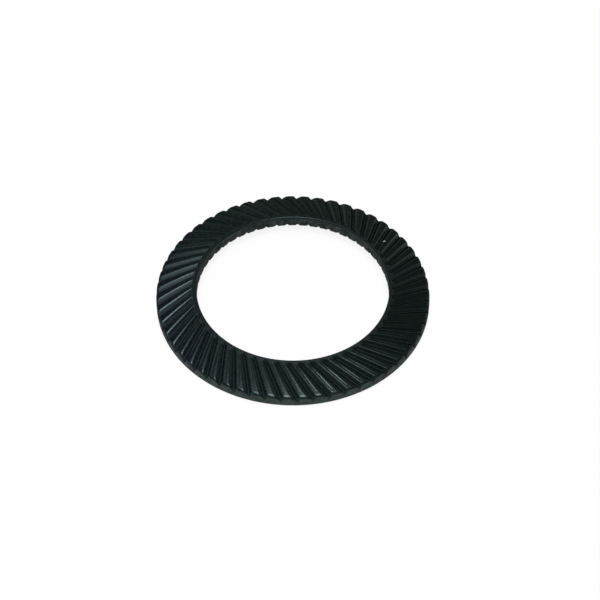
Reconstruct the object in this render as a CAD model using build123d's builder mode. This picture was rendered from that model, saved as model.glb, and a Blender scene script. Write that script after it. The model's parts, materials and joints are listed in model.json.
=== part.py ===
"""Serrated safety washer: one coned ring of spring steel, with leaning saw-tooth ridges on both faces.

The ring lies on its outer rim with the bore standing higher, +Z along the bore, and the origin on the
bore's axis in the plane that the rim rests on. All lengths are in millimetres and all angles in degrees.
"""

from build123d import *

import os
from math import atan2, cos, degrees, radians, sin, sqrt, tan

# Ring, from the bolt outwards
bolt_diameter = 30.0
bolt_clearance = 1.6  # between the bolt and the bore, across the diameter
ring_width = 6.7  # from the bore to the rim, in plan
plate_thickness = 2.0
cone_rise = 1.4  # how much higher the bore stands than the rim
plain_edge_bevel = 0.3  # along the upper edge of the bore and the lower edge of the rim
notched_edge_bevel = 0.1  # along the other two edges, which the grooves run out through

# Grooves that leave the ridges standing between them
ridge_count = 55
groove_lean = 30.0  # angle between a groove and the radius, at the middle of the ring
rim_notch_depth = 0.6  # open end of the upper grooves, at the rim
bore_notch_depth = 0.4  # open end of the lower grooves, at the bore
closed_end_depth = 0.35  # other end of the grooves, on both faces
plain_band = 0.8  # smooth band that the grooves leave beside the plain edges
run_out_angle = 35.0  # slope, against the face, of the ramp that ends a groove at the band
biting_flank_angle = 50.0  # steep flank, which stops the bolt head from turning back
sliding_flank_angle = 38.0  # gentle flank, which lets it turn while it is tightened
shoulder_radius = 0.8  # rounding from the gentle flank to the ridge's flat top, at the rim
underside_turn = -1.9  # of the lower grooves against the upper ones, about the axis
cut_overrun = 1.0  # how far a groove's cutter reaches past the metal

# Sizes that follow from those above
bore_diameter = bolt_diameter + bolt_clearance
outer_diameter = bore_diameter + 2 * ring_width
bore_radius = bore_diameter / 2
outer_radius = outer_diameter / 2
cone_angle = degrees(atan2(cone_rise, ring_width))
wall_height = plate_thickness / cos(radians(cone_angle))
groove_offset = (outer_radius + bore_radius) / 2 * sin(radians(groove_lean))  # from the axis, in plan
rim_corner_drop = plain_edge_bevel * sin(radians(cone_angle))  # of the bevelled-off corner, below the rest


def face_height(radius, side):
    """Height of the upper face (side 1) or the underside (side -1) at a radius."""
    underside = (outer_radius - radius) * tan(radians(cone_angle)) - rim_corner_drop
    return underside + wall_height * (side + 1) / 2


def groove_root(radius, depth, side):
    """Point on a groove's root line where it crosses a radius. Seen from above, the line runs along Y."""
    along = side * sqrt(radius**2 - groove_offset**2)
    return Vector(groove_offset, along, face_height(radius, side) - side * depth)


def groove_cutter(side):
    """Solid that cuts one groove into the upper face (side 1) or the underside (side -1)."""
    if side > 0:
        bore_depth, rim_depth = closed_end_depth, rim_notch_depth
    else:
        bore_depth, rim_depth = bore_notch_depth, closed_end_depth
    inner_end = groove_root(bore_radius, bore_depth, side)
    outer_end = groove_root(outer_radius, rim_depth, side)

    # Plane across the groove, before its inner end, with X towards the steep flank and Y out of the face
    run = (outer_end - inner_end).normalized()
    middle = (inner_end + outer_end) / 2
    around = Vector(-middle.Y, middle.X, 0).normalized()
    downhill = Vector(middle.X, middle.Y, 0).normalized() - Vector(0, 0, tan(radians(cone_angle)))
    face_normal = downhill.cross(around) * side
    across = Plane(inner_end - run * cut_overrun, x_dir=face_normal.cross(run), z_dir=run)

    # Saw-tooth section, drawn from the root
    slope = radians(sliding_flank_angle)
    depth = max(rim_notch_depth, bore_notch_depth)
    flank_height = depth - shoulder_radius * (1 - cos(slope))
    flank_width = flank_height / tan(slope)
    groove_edge = -flank_width - shoulder_radius * sin(slope)
    cutter_top = depth + cut_overrun

    # Band without grooves, bounded by the ramp
    plain_radius = bore_radius if side > 0 else outer_radius
    ramp_radius = plain_radius + side * plain_band
    ramp_height = face_height(ramp_radius, side)
    rise = 2 * cut_overrun * side
    reach = rise / tan(radians(run_out_angle + cone_angle))

    with BuildPart() as cutter:
        with BuildSketch(across):
            with BuildLine():
                steep = Line((0, 0), (cutter_top / tan(radians(biting_flank_angle)), cutter_top))
                roof = Line(steep @ 1, (groove_edge, cutter_top))
                drop = Line(roof @ 1, (groove_edge, depth))
                shoulder = TangentArc(drop @ 1, (-flank_width, flank_height), tangent=(1, 0))
                Line(shoulder @ 1, steep @ 0)
            make_face()
        extrude(amount=(outer_end - inner_end).length + 2 * cut_overrun)
        with BuildSketch(Plane.XZ):
            with BuildLine():
                Polyline(
                    (ramp_radius - reach, ramp_height + rise),
                    (ramp_radius + reach, ramp_height - rise),
                    (plain_radius - 2 * rise, ramp_height - rise),
                    (plain_radius - 2 * rise, ramp_height + rise),
                    close=True,
                )
            make_face()
        revolve(axis=Axis.Z, mode=Mode.SUBTRACT)
    return cutter.part


upper_groove = groove_cutter(1)
lower_groove = groove_cutter(-1)

with BuildPart() as washer:
    # Coned ring with bevelled edges
    with BuildSketch(Plane.XZ) as ring_section:
        with BuildLine():
            Polyline(
                (outer_radius, face_height(outer_radius, -1)),
                (outer_radius, face_height(outer_radius, 1)),
                (bore_radius, face_height(bore_radius, 1)),
                (bore_radius, face_height(bore_radius, -1)),
                close=True,
            )
        make_face()
        bore_corners = ring_section.vertices().group_by(Axis.X)[0].sort_by(Axis.Y)
        rim_corners = ring_section.vertices().group_by(Axis.X)[-1].sort_by(Axis.Y)
        chamfer([bore_corners[1], rim_corners[0]], plain_edge_bevel)
        bore_corners = ring_section.vertices().group_by(Axis.X)[0].sort_by(Axis.Y)
        rim_corners = ring_section.vertices().group_by(Axis.X)[-1].sort_by(Axis.Y)
        chamfer([bore_corners[0], rim_corners[1]], notched_edge_bevel)
    revolve(axis=Axis.Z)

    # Grooves, around the upper face and around the underside
    with PolarLocations(0, ridge_count):
        add(upper_groove, mode=Mode.SUBTRACT)
    with PolarLocations(0, ridge_count, start_angle=underside_turn):
        add(lower_groove, mode=Mode.SUBTRACT)

washer.part.label = "serrated_washer"
os.makedirs("parts", exist_ok=True)
export_step(washer.part, "parts/serrated_washer.step")
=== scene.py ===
import json
import math

import bpy
import numpy as np
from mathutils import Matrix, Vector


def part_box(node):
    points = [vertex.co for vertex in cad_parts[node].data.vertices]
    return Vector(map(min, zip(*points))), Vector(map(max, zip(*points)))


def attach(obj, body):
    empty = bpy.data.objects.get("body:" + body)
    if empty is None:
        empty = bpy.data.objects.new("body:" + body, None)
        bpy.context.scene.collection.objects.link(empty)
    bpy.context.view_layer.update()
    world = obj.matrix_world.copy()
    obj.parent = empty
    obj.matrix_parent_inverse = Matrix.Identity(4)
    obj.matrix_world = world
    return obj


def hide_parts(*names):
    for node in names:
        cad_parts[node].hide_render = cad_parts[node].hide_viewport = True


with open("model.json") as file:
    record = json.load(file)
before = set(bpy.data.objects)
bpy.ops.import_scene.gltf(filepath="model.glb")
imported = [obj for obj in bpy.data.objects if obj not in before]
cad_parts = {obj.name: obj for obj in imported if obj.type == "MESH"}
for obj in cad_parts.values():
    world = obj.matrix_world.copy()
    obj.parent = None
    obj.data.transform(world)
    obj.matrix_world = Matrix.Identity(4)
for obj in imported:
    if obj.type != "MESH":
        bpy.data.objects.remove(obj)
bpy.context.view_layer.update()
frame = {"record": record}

mm = 0.001
scene = bpy.context.scene
scene.view_settings.view_transform = "Standard"

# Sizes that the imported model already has, in millimetres
nodeLow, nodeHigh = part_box("serrated_washer")
rimRadius = (nodeHigh.x - nodeLow.x) / 2 / mm
boreRadius = next(m for m in frame["record"]["mounts"] if m["name"] == "bore")["dims"]["r_mm"]
ringWidth = rimRadius - boreRadius
print("frame: rim radius", round(rimRadius, 3), "bore radius", round(boreRadius, 3))


# Shader helper: wraps a socket, and every operator on it adds one Math node
class Channel:
    def __init__(self, tree, socket=None):
        self.tree = tree
        self.socket = socket

    # Adds a node: its settings first, then the values or links of its sockets
    def node(self, kind, settings=None, sockets=None, out=0):
        made = self.tree.nodes.new(kind)
        for name, setting in (settings or {}).items():
            if name == "stops":
                self.fillRamp(made.color_ramp, setting)
            else:
                setattr(made, name, setting)
        for name, given in (sockets or {}).items():
            if isinstance(given, Channel):
                self.tree.links.new(given.socket, made.inputs[name])
            else:
                made.inputs[name].default_value = given
        return None if out is None else Channel(self.tree, made.outputs[out])

    # Ramp stops are pairs of a place and a grey level
    def fillRamp(self, ramp, stops):
        while len(ramp.elements) < len(stops):
            ramp.elements.new(0.5)
        for element, (place, level) in zip(ramp.elements, stops):
            element.position = place
            element.color = (level, level, level, 1)

    def calc(self, operation, first, second):
        return self.node("ShaderNodeMath", {"operation": operation}, {0: first, 1: second})

    def __add__(self, other):
        return self.calc("ADD", self, other)

    def __radd__(self, other):
        return self.calc("ADD", other, self)

    def __sub__(self, other):
        return self.calc("SUBTRACT", self, other)

    def __rsub__(self, other):
        return self.calc("SUBTRACT", other, self)

    def __mul__(self, other):
        return self.calc("MULTIPLY", self, other)

    def __rmul__(self, other):
        return self.calc("MULTIPLY", other, self)

    def __truediv__(self, other):
        return self.calc("DIVIDE", self, other)

    def __rtruediv__(self, other):
        return self.calc("DIVIDE", other, self)

    def __pow__(self, other):
        return self.calc("POWER", self, other)


# Holds a value between 0 and 1
def clamped(channel):
    return channel.node("ShaderNodeClamp", {}, {"Value": channel})


# Share that runs evenly from 0 at the first of two edges to 1 at the second
def ramped(channel, edges):
    low, high = edges
    return clamped((channel - low) / (high - low))


# First colour where the share is 0, second where it is 1, an even blend between
def mixColour(share, first, second):
    return share.node("ShaderNodeMix", {"data_type": "RGBA"}, {0: share, 6: first, 7: second}, 2)


# Empties the nodes of a material or world
def startTree(owner):
    owner.use_nodes = True
    owner.node_tree.nodes.clear()
    return Channel(owner.node_tree)


# Washer: what a user would change, in millimetres and degrees
washer = {
    "ridges": 55,
    "lean": 30.0,  # between a groove and the radius, at the middle of the ring
    "plate": 2.0,
    "coneRise": 1.4,
    "cornerRounds": (0.24, 0.25, 0.30, 0.20),  # bore upper, rim upper, rim lower, bore lower
    "crown": 0.03,  # how far the upper face bulges between bore and rim
    "rimBends": ((2.0, 0.02), (0.45, 0.08)),  # strips along the rim that bend down: width and drop of each
    "rimDepth": 0.60,  # open end of the upper grooves
    "boreDepth": 0.32,  # open end of the lower grooves
    "closedDepth": 0.45,  # other end of both
    "plainBand": 0.38,  # smooth band at a groove's closed end
    "runOut": 0.36,  # length over which a groove fades into that band
    "steep": (58.0, 0.12, 0.22),  # slope of the steep flank, rounding at its root and at the crest
    "gentle": (41.0, 0.18, 0.90),  # the same for the gentle flank, whose upper rounding is the shoulder
    "flankRoom": 0.96,  # share of the pitch that the two flanks may fill
    "ripple": (0.70, 0.36, 0.125),  # dip along a ridge's top: width at bore and rim, depth per squared width
    "rippleEnd": (1.1, 0.7),  # how far from the rim the upper dip starts to fade, and over what length
    "turn": -0.40,  # of all grooves about the axis
    "undersideTurn": -1.9,
    "wobble": 0.03,  # spread of the grooves' depths
    "seed": 7,
    "dullBand": (0.2, 0.3),  # where the dull look of the smooth band starts, from the bore, and how it fades
}

# How fine its mesh is: runs of rows or columns (start, end, points) and points picked from the flanks' curves
fineness = {
    "cornerSteps": 6,
    "faceRuns": ((0.0, 0.18, 9), (0.18, 0.88, 10), (0.88, 1.0, 5)),
    "underRuns": ((0.0, 0.20, 7), (0.20, 1.0, 9)),
    "wallRuns": ((0.0, 1.0, 6),),
    "bendSteps": 9,
    "steepPicks": [0, 4, 8, 9, 11, 13, 15, 17],
    "gentlePicks": [17, 16, 15, 14, 13, 12, 11, 10, 9, 8, 6, 4, 2],
    "landRuns": ((0.0, 1.0, 8),),
}

pitch = 2 * math.pi / washer["ridges"]
coneSlope = washer["coneRise"] / ringWidth
wallHeight = washer["plate"] * math.hypot(1, coneSlope)
grooveOffset = (rimRadius + boreRadius) / 2 * math.sin(math.radians(washer["lean"]))
leastDepth = 1e-6  # keeps the divisions by a depth safe where a groove has ended


# Arc that rounds a corner: it starts and ends where a circle touches the two sides, and turns evenly between
def roundedCorner(before, corner, after, radius):
    toBefore = (before - corner) / np.linalg.norm(before - corner)
    toAfter = (after - corner) / np.linalg.norm(after - corner)
    half = math.acos(float(toBefore @ toAfter)) / 2
    setback = radius / math.tan(half)
    centre = corner + (toBefore + toAfter) / np.linalg.norm(toBefore + toAfter) * radius / math.sin(half)
    start = corner + toBefore * setback - centre
    end = corner + toAfter * setback - centre
    sweep = math.pi - 2 * half
    share = np.linspace(0, 1, fineness["cornerSteps"])[:, None]
    return centre + (np.sin((1 - share) * sweep) * start + np.sin(share * sweep) * end) / math.sin(sweep)


# Shares of a stretch where its points lie: evenly spaced runs, joined, without the stretch's own two ends
def runShares(runs):
    return np.concatenate([np.linspace(*run)[1:] for run in runs])[:-1]


# Points on the straight line between two ends: the first plus a share of the way to the last
def between(first, last, shares):
    return first + (last - first) * shares[:, None]


# Section of the ring, once round from the bore's upper edge, as columns: radius, height, share of the lower
# face and whether it is a wall. The upper face gains a bulge, four times the crown times the distances from
# bore and rim as shares of the width, less each bend's drop times the squared share of its strip passed
def ringSection():
    corners = np.array([
        (boreRadius, wallHeight + washer["coneRise"]),
        (rimRadius, wallHeight),
        (rimRadius, 0.0),
        (boreRadius, washer["coneRise"]),
    ])
    arcs = [
        roundedCorner(corners[i - 1], corners[i], corners[(i + 1) % 4], washer["cornerRounds"][i])
        for i in range(4)
    ]
    wallShares = runShares(fineness["wallRuns"])
    upper = [arcs[0], between(arcs[0][-1], arcs[1][0], runShares(fineness["faceRuns"])), arcs[1]]
    rimWall = between(arcs[1][-1], arcs[2][0], wallShares)
    lower = [arcs[2], between(arcs[2][-1], arcs[3][0], runShares(fineness["underRuns"])), arcs[3]]
    boreWall = between(arcs[3][-1], arcs[0][0], wallShares)
    points = np.concatenate([*upper, rimWall, *lower, boreWall])
    onUpper = np.zeros(sum(map(len, upper)))
    onLower = np.zeros(sum(map(len, lower)))
    wall = np.ones(len(wallShares))
    lowerShare = np.concatenate([onUpper, wallShares, onLower + 1, 1 - wallShares])
    onWall = np.concatenate([onUpper, wall, onLower, wall])
    outward = (points[:, 0] - boreRadius) / ringWidth
    bulge = 4 * washer["crown"] * outward * (1 - outward)
    for wide, drop in washer["rimBends"]:
        bulge = bulge - drop * np.clip((points[:, 0] - rimRadius + wide) / wide, 0, 1) ** 2
    height = points[:, 1] - points[:, 1].min() + bulge * (1 - lowerShare)
    return [values[:, None] for values in (points[:, 0], height, lowerShare, onWall)]


# Flank of a groove: distance from the root and height, along an arc, a straight slope and an arc to the top
def flankCurve(slope, rootRound, topRound):
    depth = washer["rimDepth"]
    bend = np.linspace(0, math.radians(slope), fineness["bendSteps"])
    rise = depth - (rootRound + topRound) * (1 - math.cos(bend[-1]))
    rootAcross = rootRound * np.sin(bend)
    slopeEnd = rootAcross[-1] + rise / math.tan(bend[-1])
    topAcross = slopeEnd + topRound * (math.sin(bend[-1]) - np.sin(bend[::-1]))
    rootUp = rootRound * (1 - np.cos(bend))
    topUp = depth - topRound * (1 - np.cos(bend[::-1]))
    return np.append(rootAcross, topAcross), np.append(rootUp, topUp)


steepAcross, steepUp = flankCurve(*washer["steep"])
gentleAcross, gentleUp = flankCurve(*washer["gentle"])
steepStops = steepAcross[fineness["steepPicks"]]
gentleStops = gentleAcross[fineness["gentlePicks"]]
landStops = runShares(fineness["landRuns"])
columns = len(steepStops) + len(landStops) + len(gentleStops)


# Angles of the mesh's columns at each radius: they follow a groove's flanks, squeezed where those fill the
# pitch, and share out the ridge's top. A line at a distance from the axis crosses a radius where the cosine
# is that distance over the radius
def columnAngle(index, radius, share):
    room = washer["flankRoom"] * pitch * np.sqrt(radius**2 - grooveOffset**2)
    share = np.minimum(share, room / (steepAcross[-1] + gentleAcross[-1]))
    steep = np.arccos((grooveOffset - steepStops * share) / radius)
    gentle = pitch + np.arccos((grooveOffset + gentleStops * share) / radius)
    land = steep[:, -1:] + (gentle[:, :1] - steep[:, -1:]) * landStops
    stops = np.concatenate([steep, land, gentle], axis=1)
    cell, place = np.divmod(index, columns)
    return stops[:, place] + cell * pitch


# Depth of the cut below the ridges' tops: the deeper of the flank past this root and the flank before the
# next. The dip starts at the crest: one wave of a raised cosine, its depth by the square of its width
def grooveCut(radius, angle, depth, spread):
    cell = np.floor((angle - np.arccos(grooveOffset / radius)) / pitch)
    local = angle - cell * pitch
    past = grooveOffset - radius * np.cos(local)
    ahead = radius * np.cos(local - pitch) - grooveOffset
    root = cell.astype(int) % washer["ridges"]
    here = np.maximum(depth * spread[root], leastDepth)
    coming = np.maximum(depth * spread[(root + 1) % washer["ridges"]], leastDepth)
    full = washer["rimDepth"]
    steepCut = here * (1 - np.interp(past * full / here, steepAcross, steepUp) / full)
    gentleCut = coming * (1 - np.interp(ahead * full / coming, gentleAcross, gentleUp) / full)
    boreWide, rimWide, rippleDeep = washer["ripple"]
    rippleWide = boreWide + (rimWide - boreWide) * (radius - boreRadius) / ringWidth
    along = np.clip((past - steepAcross[-1] * here / full) / rippleWide, 0, 1)
    dip = rippleDeep * rippleWide**2 * (1 - np.cos(2 * math.pi * along)) / 2
    return np.maximum(steepCut, gentleCut), dip * np.minimum(here / full, 1)


# Smooth step from 0 to 1: the squared share times three less twice the share
def eased(share):
    share = np.clip(share, 0, 1)
    return share * share * (3 - 2 * share)


# Ring with both faces' grooves: a grid of section rows by columns that follow the grooves, closed both ways.
# Each point's height is the section's, less the upper cut and plus the lower cut, by its share of each face
def makeWasher():
    draw = np.random.default_rng(washer["seed"])
    spreadUpper = 1 + washer["wobble"] * draw.standard_normal(washer["ridges"])
    spreadLower = 1 + washer["wobble"] * draw.standard_normal(washer["ridges"])
    radius, height, lowerShare, wallShare = ringSection()
    wallRows = len(runShares(fineness["wallRuns"]))
    outward = (radius - boreRadius) / ringWidth
    upperDepth = washer["closedDepth"] + (washer["rimDepth"] - washer["closedDepth"]) * outward
    lowerDepth = washer["boreDepth"] + (washer["closedDepth"] - washer["boreDepth"]) * outward
    upperRamp = eased((radius - boreRadius - washer["plainBand"]) / washer["runOut"])
    lowerRamp = eased((rimRadius - washer["plainBand"] - radius) / washer["runOut"])
    upperWidth = upperDepth / washer["rimDepth"]
    lowerWidth = lowerDepth / washer["rimDepth"]

    # Columns run on from the upper face to the lower one, which leans the other way, with the least twist
    index = np.arange(washer["ridges"] * columns)
    turn = math.radians(washer["undersideTurn"])
    first = np.zeros(1, int)
    rimRoot = float(columnAngle(first, np.array([[rimRadius]]), 1.0)[0, 0])
    boreRoot = float(columnAngle(first, np.array([[boreRadius]]), 1.0)[0, 0])
    shift = int(round((2 * rimRoot - turn) / pitch))
    roll = int(round((shift * pitch + turn - 2 * boreRoot) / pitch))
    upperAngle = columnAngle(index, radius, upperWidth)
    upperAngle[-wallRows:] += roll * pitch
    lowerMirror = columnAngle(-index, radius, lowerWidth) - shift * pitch
    lowerAngle = turn - lowerMirror

    upperCut, upperDip = grooveCut(radius, upperAngle, upperDepth * upperRamp, spreadUpper)
    lowerCut, lowerDip = grooveCut(radius, lowerMirror, lowerDepth * lowerRamp, spreadLower)
    fadeFrom, fadeLong = washer["rippleEnd"]
    upperDrop = upperCut + upperDip * (1 - eased((radius - rimRadius + fadeFrom) / fadeLong))
    lowerDrop = lowerCut + lowerDip
    angle = upperAngle * (1 - lowerShare) + lowerAngle * lowerShare + math.radians(washer["turn"])
    z = height - (1 - lowerShare) * upperDrop + lowerShare * lowerDrop
    points = np.stack([radius * np.cos(angle), radius * np.sin(angle), z], axis=-1) * mm

    # Shares that the coat reads: depth in a groove, sheared wall, the bore's wall and the smooth upper band
    deep = ((1 - lowerShare) * upperCut + lowerShare * lowerCut) / washer["rimDepth"]
    onWall = np.broadcast_to(wallShare, deep.shape)
    inBore = onWall * (radius < (boreRadius + rimRadius) / 2)
    dullFrom, dullFade = washer["dullBand"]
    inBand = 1 - eased((radius - boreRadius - washer["plainBand"] - washer["runOut"]) / dullFade)
    inBand = inBand * (radius > boreRadius + dullFrom) * (1 - lowerShare)
    inBand = np.broadcast_to(inBand, deep.shape)

    # Quads between neighbouring rows and columns; the last row meets the first one some ridges further round
    rows, wide = angle.shape
    row = np.arange(rows)[:, None]
    column = np.arange(wide)[None, :]
    after = (row + 1) % rows
    slip = np.where(row == rows - 1, roll * columns, 0)
    quads = np.stack([
        row * wide + column,
        after * wide + (column + slip) % wide,
        after * wide + (column + slip + 1) % wide,
        row * wide + (column + 1) % wide,
    ], axis=-1).reshape(-1, 4)
    mesh = bpy.data.meshes.new("serratedWasher")
    mesh.from_pydata(points.reshape(-1, 3), [], quads)
    mesh.polygons.foreach_set("use_smooth", np.ones(len(quads), bool))
    for name, share in (("deep", deep), ("wall", onWall), ("bore", inBore), ("band", inBand)):
        values = share.ravel().astype(np.float32)
        mesh.attributes.new(name, "FLOAT", "POINT").data.foreach_set("value", values)
    mesh.update()
    piece = bpy.data.objects.new("washer_body", mesh)
    scene.collection.objects.link(piece)
    print("washer: rows", rows, "columns", wide, "triangles", 2 * len(quads), "roll", roll)
    return piece


# Black phosphated steel: a dark, slightly green coat with soft mottling and fine crystal grain
coat = {
    "dark": (0.0006, 0.0022, 0.0014, 1),
    "light": (0.0056, 0.0120, 0.0094, 1),
    "blueDark": (0.0008, 0.0020, 0.0036, 1),  # towards the left the coat turns blue
    "blueLight": (0.0062, 0.0104, 0.0140, 1),
    "blueSlopes": (-59.0, -22.0, -0.35),  # share of blue: per metre right and back, and on the axis
    "rightSlopes": (110.0, -1.1, 0.60),  # painted shade, darker towards the right: per metre, on the axis, and at most
    "wallDark": (0.0060, 0.0125, 0.0100, 1),  # sheared edges, which are paler and patchy
    "wallLight": (0.0380, 0.0620, 0.0540, 1),
    "boreDark": (0.0075, 0.0105, 0.0095, 1),  # the bore's wall, which is duller
    "boreLight": (0.0580, 0.0720, 0.0680, 1),
    "bareSteel": (0.26, 0.29, 0.27, 1),
    "sheen": (0.69, 0.93, 0.98, 1),  # tint of the reflections
    "mottle": (1800.0, 4.0, 0.8),  # patches per metre, layers of finer ones and how strong those are
    "grain": (16000.0, 2.0, 0.5),
    "wallPatch": (900.0, 5.0, 0.75),
    "mottleStops": ((0.35, 0.0), (0.68, 1.0)),  # where a pattern starts to turn light, and where it is full
    "wallStops": ((0.36, 0.0), (0.66, 1.0)),
    "roughness": 0.20,
    "roughSpread": 0.22,
    "rootRoughness": 0.55,
    "rootEdges": (0.40, 0.82),  # depth in a groove where that roughness starts, and where it is full
    "wallRoughness": 0.60,
    "gloss": 0.25,
    "grainHeight": 0.000003,
    "bandDark": 0.6,  # painted shade: how far the smooth band beside the bore darkens
    "matteEdges": (0.42, 0.64),  # turn from the eye where a surface's gloss fades, and where it is gone
    "wallKeeps": 0.7,  # share of that fading that the walls are spared
    "boreMatte": 0.82,  # share of the bore's wall that is matte
    "nickRagged": 1.2,  # how much the grain frays a spot's edge
    "nickCrisp": 2.5,
}

# Pale spots: a nick where the coat is knocked off, on the upper face, and a pale grey spot on the lower rim
# edge; centre, direction of the long axis and half axes, in metres
paleSpots = [
    {"at": (0.01484, 0.01143, 0.0027), "along": (0.90, -0.43, 0.0), "half": (0.00052, 0.00022)},
    {"at": (0.01084, -0.01970, 0.0002), "along": (0.88, 0.47, 0.0), "half": (0.00020, 0.00014)},
]


# Share of a spot at a place: one minus the squared scaled distance from its centre, frayed and made steep
def spotShare(place, grain, spot):
    off = place.node("ShaderNodeVectorMath", {"operation": "SUBTRACT"}, {0: place, 1: spot["at"]})
    dot = {"operation": "DOT_PRODUCT"}
    along = place.node("ShaderNodeVectorMath", dot, {0: off, 1: spot["along"]}, "Value")
    reach = place.node("ShaderNodeVectorMath", dot, {0: off, 1: off}, "Value")
    longHalf, wideHalf = spot["half"]
    across = reach - along**2
    far = (along / longHalf) ** 2 + across / wideHalf**2
    return clamped((1.0 - far + (grain - 0.5) * coat["nickRagged"]) * coat["nickCrisp"])


# Cloudy pattern, from 0 to 1, around one half
def cloudy(place, pattern):
    scale, detail, strength = pattern
    sockets = {"Vector": place, "Scale": scale, "Detail": detail, "Roughness": strength}
    return place.node("ShaderNodeTexNoise", {}, sockets)


# Coat: the colour blends dark and light by the mottling, then blue, painted shade on the right, wall, bore,
# painted shade on the smooth band and pale spots by their shares. The roughness is the coat's plus the
# mottling's, the grooves' and the walls'. The gloss gives way to a matte shader where the surface turns from
# the eye, and in the bore
def blackenedSteel():
    material = bpy.data.materials.new("blackened_steel_coat")
    tree = startTree(material)
    place = tree.node("ShaderNodeTexCoord", out="Object")
    right, back = (tree.node("ShaderNodeSeparateXYZ", {}, {0: place}, axis) for axis in "XY")
    wall, bore, deep, band = (
        tree.node("ShaderNodeAttribute", {"attribute_name": name}, out="Fac")
        for name in ("wall", "bore", "deep", "band")
    )
    mottle = cloudy(place, coat["mottle"])
    grain = cloudy(place, coat["grain"])
    patch = tree.node("ShaderNodeValToRGB", {"stops": coat["mottleStops"]}, {"Fac": mottle})
    wallCloud = cloudy(place, coat["wallPatch"])
    wallPatch = tree.node("ShaderNodeValToRGB", {"stops": coat["wallStops"]}, {"Fac": wallCloud})

    green = mixColour(patch, coat["dark"], coat["light"])
    blue = mixColour(patch, coat["blueDark"], coat["blueLight"])
    perRight, perBack, onAxis = coat["blueSlopes"]
    face = mixColour(clamped(right * perRight + back * perBack + onAxis), green, blue)
    # Painted shade: the face darkens towards the right
    perRight, onAxis, most = coat["rightSlopes"]
    face = mixColour(clamped(right * perRight + onAxis) * most, face, coat["dark"])
    edge = mixColour(wallPatch, coat["wallDark"], coat["wallLight"])
    edge = mixColour(bore, edge, mixColour(wallPatch, coat["boreDark"], coat["boreLight"]))
    colour = mixColour(wall, face, edge)
    # Painted shade: the smooth band beside the bore darkens
    colour = mixColour(band * coat["bandDark"], colour, coat["dark"])
    for spot in paleSpots:
        colour = mixColour(spotShare(place, grain, spot), colour, coat["bareSteel"])

    dull = clamped(ramped(deep, coat["rootEdges"]) + band) * (coat["rootRoughness"] - coat["roughness"])
    rough = coat["roughness"] + (mottle - 0.5) * coat["roughSpread"] + dull
    rough = rough + wall * (coat["wallRoughness"] - coat["roughness"])
    bump = tree.node(
        "ShaderNodeBump", {},
        {"Height": grain, "Distance": coat["grainHeight"], "Strength": 1.0},
    )
    glossy = tree.node(
        "ShaderNodeBsdfPrincipled", {},
        {"Base Color": colour, "Roughness": rough, "IOR": 1.5, "Specular IOR Level": coat["gloss"],
         "Specular Tint": coat["sheen"], "Normal": bump},
    )
    matte = tree.node(
        "ShaderNodeBsdfPrincipled", {},
        {"Base Color": colour, "Roughness": 1.0, "Specular IOR Level": 0.0},
    )
    turned = tree.node("ShaderNodeLayerWeight", {}, {"Blend": 0.5}, "Facing")
    faded = ramped(turned, coat["matteEdges"]) * (1.0 - wall * coat["wallKeeps"])
    matteShare = faded * (1.0 - bore) + bore * coat["boreMatte"]
    both = tree.node("ShaderNodeMixShader", {}, {0: matteShare, 1: glossy, 2: matte})
    tree.node("ShaderNodeOutputMaterial", {}, {"Surface": both}, None)
    return material


washerPiece = makeWasher()
washerPiece.data.materials.append(blackenedSteel())
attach(washerPiece, "root")
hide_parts("serrated_washer")
print("coat: done")


# Floor: plain white
ground = {
    "size": 4.0,
    "white": (0.92, 0.92, 0.92, 1),
    "glow": 0.88,  # share of plain white that the camera sees in the floor, the rest keeps the shadow
    "gleam": 0.6,  # share of it that reflections see
}


# Flat square: its shader blends from matte to glow by the kind of ray, with the shares above
def makeFloor():
    half = ground["size"] / 2
    corners = np.array([(-half, -half, 0), (half, -half, 0), (half, half, 0), (-half, half, 0)])
    mesh = bpy.data.meshes.new("floor")
    mesh.from_pydata(corners, [], [(0, 1, 2, 3)])
    floor = bpy.data.objects.new("floor", mesh)
    scene.collection.objects.link(floor)
    material = bpy.data.materials.new("floor_white")
    tree = startTree(material)
    camera, glossy, through = (
        tree.node("ShaderNodeLightPath", out=kind)
        for kind in ("Is Camera Ray", "Is Glossy Ray", "Is Transmission Ray")
    )
    seen = clamped(camera + through) * ground["glow"] + glossy * ground["gleam"]
    matte = tree.node("ShaderNodeBsdfDiffuse", {}, {"Color": ground["white"]})
    glow = tree.node("ShaderNodeEmission", {}, {"Color": (1, 1, 1, 1), "Strength": 1.0})
    both = tree.node("ShaderNodeMixShader", {}, {0: seen, 1: matte, 2: glow})
    tree.node("ShaderNodeOutputMaterial", {}, {"Surface": both}, None)
    mesh.materials.append(material)


# Room: dim, with a lighter ceiling, horizon and side walls. Edges are parts of a direction of length one,
# where a light part starts and where it is full
room = {
    "dim": (0.12, 0.12, 0.12, 1),
    "ceiling": (0.80, 0.80, 0.80, 1),
    "ceilingEdges": (0.79, 0.95),  # upwards
    "sideWall": (0.85, 0.85, 0.85, 1),
    "rightEdges": (0.42, 0.60),  # to the right
    "leftEdges": (-0.60, -0.80),
    "farEdges": (0.20, 0.50),  # backwards, where the left wall ends and the right one starts
    "horizon": (0.85, 0.85, 0.85, 1),
    "horizonEdges": (0.34, 0.12),  # upwards
}


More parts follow.
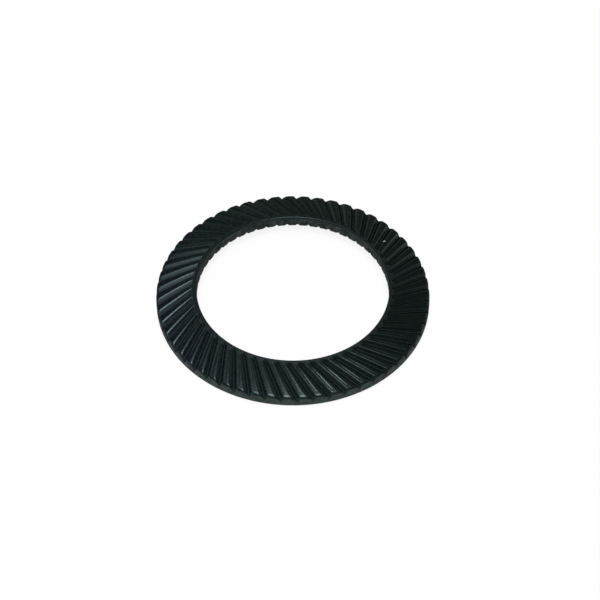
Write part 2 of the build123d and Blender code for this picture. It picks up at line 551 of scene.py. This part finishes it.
# Light of a direction: the dim room, blended with each lighter part in turn by its share
def makeRoom():
    world = bpy.data.worlds.new("studioRoom")
    scene.world = world
    tree = startTree(world)
    direction = tree.node("ShaderNodeTexCoord", out="Generated")
    right, back, up = (tree.node("ShaderNodeSeparateXYZ", {}, {0: direction}, axis) for axis in "XYZ")
    farShare = ramped(back, room["farEdges"])
    colour = mixColour(ramped(up, room["ceilingEdges"]), room["dim"], room["ceiling"])
    colour = mixColour(ramped(right, room["rightEdges"]) * farShare, colour, room["sideWall"])
    colour = mixColour(ramped(right, room["leftEdges"]) * (1.0 - farShare), colour, room["sideWall"])
    colour = mixColour(ramped(up, room["horizonEdges"]), colour, room["horizon"])
    sky = tree.node("ShaderNodeBackground", {}, {"Color": colour, "Strength": 1.0})
    tree.node("ShaderNodeOutputWorld", {}, {"Surface": sky}, None)


# Three soft boxes overhead, facing down: sizes and places in metres, power in watts
lamps = {
    "key": {"place": (-0.005, 0.005, 0.50), "size": (0.16, 0.095), "power": 1.05},
    "fill": {"place": (0.005, -0.20, 0.50), "size": (0.32, 0.30), "power": 1.0},
    "back": {"place": (-0.085, 0.11, 0.50), "size": (0.17, 0.10), "power": 0.045},
}


# Rectangle of light at its place, which faces down unturned
def makeLamp(name):
    lamp = bpy.data.lights.new(name + "Softbox", "AREA")
    lamp.shape = "RECTANGLE"
    lamp.size, lamp.size_y = lamps[name]["size"]
    lamp.energy = lamps[name]["power"]
    holder = bpy.data.objects.new(name + "Softbox", lamp)
    holder.location = lamps[name]["place"]
    scene.collection.objects.link(holder)


# Camera: metres, degrees and millimetres of lens and sensor; the shift sets the picture's framing
view = {
    "distance": 0.2925,
    "azimuth": 1.98,
    "elevation": 48.03,
    "lens": 106.04,
    "sensor": 36.0,
    "shift": (0.01183, -0.00063),
    "nearest": 0.01,
}


# Stands at its distance from the origin, round by the azimuth and up by the elevation, and looks back at it
def makeCamera():
    turn = math.radians(view["azimuth"])
    rise = math.radians(view["elevation"])
    camera = bpy.data.cameras.new("camera")
    camera.lens = view["lens"]
    camera.sensor_width = view["sensor"]
    camera.shift_x, camera.shift_y = view["shift"]
    camera.clip_start = view["nearest"]
    holder = bpy.data.objects.new("camera", camera)
    holder.location = (
        view["distance"] * math.sin(turn) * math.cos(rise),
        -view["distance"] * math.cos(turn) * math.cos(rise),
        view["distance"] * math.sin(rise),
    )
    holder.rotation_euler = (math.pi / 2 - rise, 0, turn)
    scene.collection.objects.link(holder)
    scene.camera = holder


makeFloor()
makeRoom()
for lampName in lamps:
    makeLamp(lampName)
makeCamera()
print("studio: done")

bpy.context.view_layer.update()
